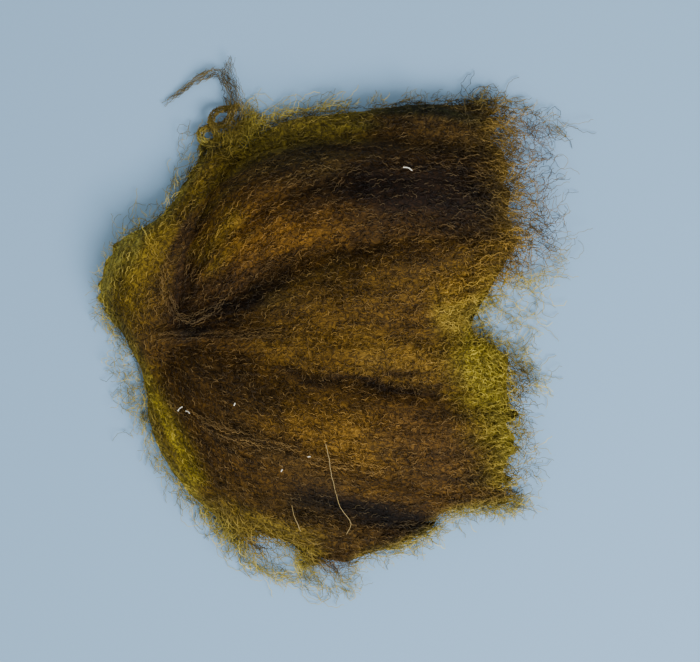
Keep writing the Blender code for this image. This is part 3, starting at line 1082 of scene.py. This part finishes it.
def bundle(route, radius, count, length, twist):
    """Fibre paths that wind round a route. radius is given at its start and end.

    The route goes on for half a fibre at both ends, where ever fewer fibres reach.
    """
    route = np.array(route, float)
    ends = [(route[0] - route[1]), (route[-1] - route[-2])]
    ends = [end / np.linalg.norm(end) * length / 2 for end in ends]
    route = np.vstack([route[0] + ends[0], route, route[-1] + ends[1]])
    route = resampled(route, PATH_STEP)
    forward = np.gradient(route, axis=0)
    forward /= np.linalg.norm(forward, axis=1, keepdims=True)
    side = np.cross(forward, (0, 0, 1))
    side /= np.linalg.norm(side, axis=1, keepdims=True)
    lift = np.cross(side, forward)
    points = max(3, int(length / PATH_STEP))
    first = rng.integers(0, max(1, len(route) - points), count)[:, None]
    at_point = np.minimum(first + np.arange(points), len(route) - 1)
    part = at_point / len(route)
    reach = radius[0] + (radius[1] - radius[0]) * part
    out = reach * np.sqrt(rng.uniform(0.1, 1, count))[:, None]
    angle = rng.uniform(0, 2 * math.pi, count)[:, None] + twist * at_point * PATH_STEP
    paths = route[at_point]
    paths = paths + side[at_point] * (out * np.cos(angle))[..., None]
    paths = paths + lift[at_point] * (out * np.sin(angle))[..., None]
    paths[..., 2] = np.maximum(paths[..., 2], LOWEST)
    return paths


# places in mm from the low corner of the curl's box
PLY_AXIS = np.array([(11.8, -2.5), (12, 1), (13.8, 5.5), (19.5, 9.8)])
TAIL = [
    (20, 10, 2.5),
    (18.5, 15.5, 2.2),
    (15, 20, 1.8),
    (12, 19, 1.5),
    (9.2, 17.8, 1.2),
    (6.4, 15.8, 1),
    (3.6, 13.6, 0.8),
    (0.8, 11.6, 0.7),
]
TUFT = [(20, 10, 2), (18.5, 15.5, 1.8), (17.5, 20, 1.5), (18, 23, 1.2)]
PLY_SPREAD = 2.6  # mm that a ply swings off the axis
PLY_LIFT = 1.1  # mm that it rises and falls as it winds
PLY_HEIGHT = 2.7  # mm, how high the plies' middle is where no wool lies under it
PLY_TURNS = 1.25
curl_low = np.array(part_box("curl")[0]) / MM * (1, 1, 0)


def ply(start):
    """The route of a ply that winds round the curl's axis, flattened where it lies."""
    share = np.linspace(0, 1, 40)
    corners_at = range(len(PLY_AXIS))
    gone = share * (len(PLY_AXIS) - 1)
    middle = np.stack([np.interp(gone, corners_at, PLY_AXIS[:, k]) for k in (0, 1)], 1)
    forward = np.gradient(middle, axis=0)
    forward /= np.linalg.norm(forward, axis=1, keepdims=True)
    closing = 0.35 + 0.65 * np.sin(math.pi * np.minimum(1, 0.12 + 0.8 * share))
    turn = 2 * math.pi * (PLY_TURNS * share + start)
    off = (PLY_SPREAD * closing * np.cos(turn))[:, None]
    flat = middle + off * np.stack([forward[:, 1], -forward[:, 0]], 1) + curl_low[:2]
    rests_on = np.maximum(at(height, flat), PLY_HEIGHT - 1)
    return np.column_stack([flat, rests_on + 1 + PLY_LIFT * np.sin(turn)])


PLY = {"radius": (1.2, 1.0), "count": 200, "length": 6, "twist": 0.3}
plies = np.concatenate([bundle(ply(start), **PLY) for start in (0, 0.5)])
curl = spin("curl_plies", plies, WAVE, 0.2, 1.0, HAIR, (0.35, 1.6))
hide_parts("curl")
tail = bundle(np.array(TAIL) + curl_low, radius=(2.4, 0.4), count=130, length=6, twist=0.12)
spin("curl_tail", tail, HAIR_WAVE, 0.3, 2.4, FUZZ, (0.4, 1.6))
tuft = bundle(np.array(TUFT) + curl_low, radius=(3.8, 1.4), count=90, length=5, twist=0.1)
spin("curl_tuft", tuft, HAIR_WAVE, 0.3, 2.0, FUZZ, (0.4, 1.3))

# %% [markdown]
# ## Small things in the wool
# Two strands that lie on top are paler than the rest, and a third covers the parting at
# the knot. A kemp is a thick pale hair, and raw wool also holds specks of straw.

# %% Strands on top, kemps and specks
def on_wool(route, rise):
    """A route given in plan, laid on the wool at a height above it."""
    route = np.array(route, float)
    return np.column_stack([route, at(height, route) + rise])


HOOK = [
    (-50, 25),
    (-47.5, 20),
    (-46, 14),
    (-45.5, 8),
    (-43, 3),
    (-39, 1.6),
    (-32, 5),
    (-28, 9),
]
STREAK = [(-43, -21), (-36, -26), (-29, -29), (-16, -32.5), (-4, -36), (12, -39)]
PARTING = [(-47, -2.6), (-36, -2.4), (-24, -1.8), (-14, -1.4)]
STRAND_HAIR = 0.18  # mm, the thickness of a fibre in a strand
# slot, route, width, fibres, darkest and lightest tint
STRANDS = {
    "hook": ("fold_lock", HOOK, 1.8, 70, (1.0, 2.4)),
    "streak": ("streaked_lock", STREAK, 1.8, 90, (1.0, 2.4)),
    "parting": ("middle_lock", PARTING, 1.6, 110, (0.4, 1.6)),
}
for name, (slot, route, width, count, tints) in STRANDS.items():
    route = on_wool(route, rise=0.5)
    strand = bundle(route, radius=(width, width), count=count, length=7, twist=0.02)
    spin(name, strand, WAVE, 0.25, 1.6, STRAND_HAIR, tints)


def plain(name, colour, roughness):
    """A material of one colour."""
    material, _, shader = new_material(name)
    shader.inputs["Base Color"].default_value = linear(colour)
    shader.inputs["Roughness"].default_value = roughness
    return material


# a kemp has a brittle hollow core, so it takes no dye and stays pale
kemp_hair = plain("kemp_hair", "#9A8450", 0.5)
# dry straw, bleached by weather: its waxy skin takes little dye, so it stays nearly white
straw = plain("bleached_straw", "#E6E2D2", 0.6)
KEMP = [(-1.5, -31.5), (0.2, -41.5), (2.2, -49.5), (5.5, -54), (4, -57)]
SHORT_KEMP = [(-11, -49), (-10, -53), (-8.5, -56)]
KEMP_THICKNESS, SPECK_THICKNESS = 0.24, 0.36  # mm
# lock, (x, y), length in mm, direction in degrees
SPECKS = [
    ("upper_lock", (20.7, 43.1), 2.6, -20),
    ("streaked_lock", (-6.2, -35), 0.8, 10),
    ("streaked_lock", (-13.7, -38.9), 0.7, 60),
    ("veil_lock", (-42, -22.3), 1.8, 40),
    ("veil_lock", (-39.5, -23.2), 1.3, -30),
    ("streaked_lock", (-26.6, -21), 0.8, 70),
]
# kind, material, slot, route, thickness and stray
bits = []
for route in (KEMP, SHORT_KEMP):
    route = resampled(on_wool(route, rise=1.1), PATH_STEP)
    bits.append(("kemp", kemp_hair, "streaked_lock", route, KEMP_THICKNESS, 0.8))
for slot, place, length, degrees in SPECKS:
    turn = math.radians(degrees)
    reach = np.array((math.cos(turn), math.sin(turn))) * length / 2
    bow = np.array((-reach[1], reach[0])) * 0.35
    route = on_wool([place - reach - bow, np.array(place), place + reach - bow], 1.3)
    bits.append(("speck", straw, slot, route, SPECK_THICKNESS, 0.2))
for number, (kind, material, slot, route, thickness, stray) in enumerate(bits):
    bit = spin(f"{kind}_{number}", route[None], WAVE, 0, stray, thickness, (1, 1.01))
    bit.data.materials[0] = material
